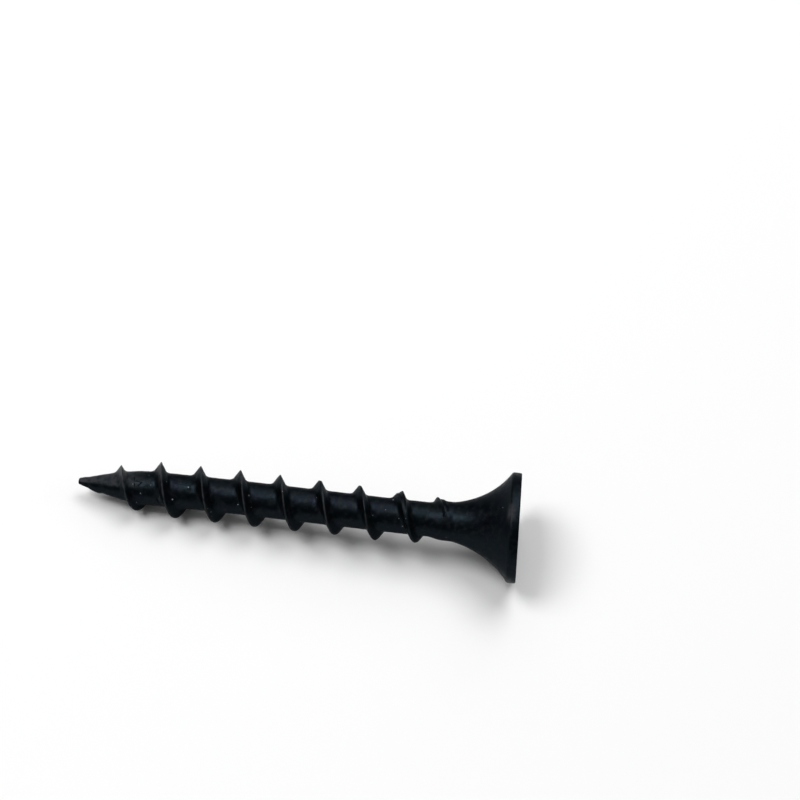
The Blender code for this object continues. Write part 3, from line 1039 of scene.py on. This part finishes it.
def black_phosphate():
    material, wire, output = new_material("black_phosphate_finish")
    place = wire.add_node("ShaderNodeTexCoord", {}, {}, output="Object")
    clouds = wire.noise(place, CLOUD_SIZE, detail=3.0)
    blotches = wire.noise(place, BLOTCH_SIZE, detail=3.0)
    grain = wire.noise(place, GRAIN_SIZE, detail=2.0, roughness=0.6)
    voronoi = {"Vector": place, "Scale": 1.0 / PIT_SIZE}
    cells = wire.add_node("ShaderNodeTexVoronoi", {}, voronoi, output="Distance")
    pits = 1.0 - cells.ramp(*PIT_RAMP)
    dust = dust_at(wire, place)
    scratched = strokes_at(wire, place, scratches)
    scored = strokes_at(wire, place, scores)

    patches = RUBBED_AND_SHEEN_LEAST + blotches.ramp(*RUBBED_AND_SHEEN_RAMP) * RUBBED_AND_SHEEN_PATCHES
    # The stored value is wear and painted sheen; both turn the coat towards bare grey steel.
    rubbed_and_sheen = (wire.attribute("wear_and_sheen") * patches).at_least(scratched).at_most(1.0)
    color = wire.blend(clouds.ramp(*CLOUD_RAMP), COAT_TEAL, COAT_LILAC)
    color = wire.blend(blotches.ramp(*BLOTCH_RAMP), color, COAT_PALE)
    color = wire.blend(rubbed_and_sheen, color, RUBBED_STEEL_AND_SHEEN)
    color = wire.blend(scored, color, COAT_BLACK)
    color = wire.blend(dust, color, DUST)
    roughness = COAT_ROUGHNESS + (blotches - 0.5) * BLOTCH_ROUGHNESS - rubbed_and_sheen * RUBBED_AND_SHEEN_POLISH
    coated = (1.0 - rubbed_and_sheen * RUBBED_AND_SHEEN_DULLING).at_least(0.0) * (1.0 - dust)
    height = grain + blotches * BLOTCH_HEIGHT - pits * PIT_DEPTH
    height = height + dust * DUST_HEIGHT - scratched - scored * SCORE_DEPTH
    relief = {"Strength": BUMP_STRENGTH, "Distance": GRAIN_DEPTH, "Height": height}
    bump = wire.add_node("ShaderNodeBump", {}, relief, output="Normal")
    sockets = {
        "Base Color": color,
        "Roughness": roughness,
        "Metallic": coated * COAT_METAL,
        "Normal": bump,
        "Specular IOR Level": BARE_SHINE,
        "Specular Tint": SLANT_TINT,
    }
    surface = wire.add_node("ShaderNodeBsdfPrincipled", {}, sockets)
    material.node_tree.links.new(surface.socket, output.inputs["Surface"])
    return material


screw.data.materials.clear()
finish = black_phosphate()
screw.data.materials.append(finish)
print("material of the screw:", finish.name, "with", len(finish.node_tree.nodes), "nodes")

# %% [markdown]
# The table is plain white. In the photograph it is bright enough to lose all detail, apart from the
# soft shadow. More light would wash out the screw too, so the rays of the camera, and those that are
# mirrored or pass through glass, see the floor brighter than the light that it throws back. The metal
# then shows the same white table as the picture does, and the floor keeps its shadow.

# %% Floor
FLOOR_SIZE = 6.0
FLOOR_COLOR = (0.55, 0.55, 0.55, 1.0)
FLOOR_COLOR_SEEN = (0.88, 0.88, 0.88, 1.0)
SEEING_RAYS = ("Is Camera Ray", "Is Glossy Ray", "Is Transmission Ray")


def white_table():
    material, wire, output = new_material("white_table")
    seen = highest([wire.add_node("ShaderNodeLightPath", {}, {}, output=name) for name in SEEING_RAYS])
    color = wire.blend(seen, FLOOR_COLOR, FLOOR_COLOR_SEEN)
    surface = wire.add_node("ShaderNodeBsdfDiffuse", {}, {"Color": color})
    material.node_tree.links.new(surface.socket, output.inputs["Surface"])
    return material


bpy.ops.object.select_all(action="DESELECT")
bpy.ops.mesh.primitive_plane_add(size=FLOOR_SIZE)
floor = bpy.context.object
floor.name = "floor"
floor.data.materials.append(white_table())
floor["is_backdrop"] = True
print(f"floor {FLOOR_SIZE} m wide")

# %% [markdown]
# The shadow in the photograph tells where its light comes from: it has one lobe towards the reader and
# one to the right of the head, so there are two lamps, high up, one behind and one to the left. A
# large soft lamp overhead blurs both. Three weaker ones serve the screw itself: one behind draws the
# broad sheen along its upper side, one in front keeps the near side from going black, and one at the
# head's end lets its face be read from there. The world around is a plain dim white.

# %% Light
WORLD_STRENGTH = 0.03
KEY = {"azimuth": 150, "elevation": 73, "distance": 0.60, "size": 0.72, "power": 0.7}
LEFT = {"azimuth": 187, "elevation": 62, "distance": 0.60, "size": 0.24, "power": 1.9}
RIGHT = {"azimuth": 66, "elevation": 68, "distance": 0.60, "size": 0.34, "power": 1.6}
BACK = {"azimuth": 88, "elevation": 44, "distance": 0.80, "size": 0.60, "power": 0.95}
FRONT = {"azimuth": 230, "elevation": 36, "distance": 0.80, "size": 0.95, "power": 0.42}
HEAD = {"azimuth": 5, "elevation": 19, "distance": 0.80, "size": 0.50, "power": 0.85}

world = bpy.data.worlds.new("studio")
world.use_nodes = True
world.node_tree.nodes["Background"].inputs["Color"].default_value = (1.0, 1.0, 1.0, 1.0)
world.node_tree.nodes["Background"].inputs["Strength"].default_value = WORLD_STRENGTH
bpy.context.scene.world = world


def softbox(name, azimuth, elevation, distance, size, power):
    """A square area lamp that faces the screw from this direction, given in degrees."""
    lamp_data = bpy.data.lights.new(name, "AREA")
    lamp_data.size = size
    lamp_data.energy = power
    lamp = bpy.data.objects.new(name, lamp_data)
    bpy.context.collection.objects.link(lamp)
    heading, rise = math.radians(azimuth), math.radians(elevation)
    level = math.cos(rise)
    direction = Vector((level * math.cos(heading), level * math.sin(heading), math.sin(rise)))
    lamp.location = distance * direction
    lamp.rotation_euler = direction.to_track_quat("Z", "Y").to_euler()


softbox("key_lamp", **KEY)
softbox("left_lamp", **LEFT)
softbox("right_lamp", **RIGHT)
softbox("back_lamp", **BACK)
softbox("front_lamp", **FRONT)
softbox("head_lamp", **HEAD)
bpy.context.scene.view_settings.view_transform = "Standard"
print("lamps and world set")

# %% Print the sizes of the imported model and of the scene
SCENE_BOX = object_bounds()
boxes = {"cad": [list(corner) for corner in CAD_BOX], "scene": [list(corner) for corner in SCENE_BOX]}
for name, (low, high) in boxes.items():
    print(name, "box in mm:", [round((b - a) / MM, 3) for a, b in zip(low, high)])
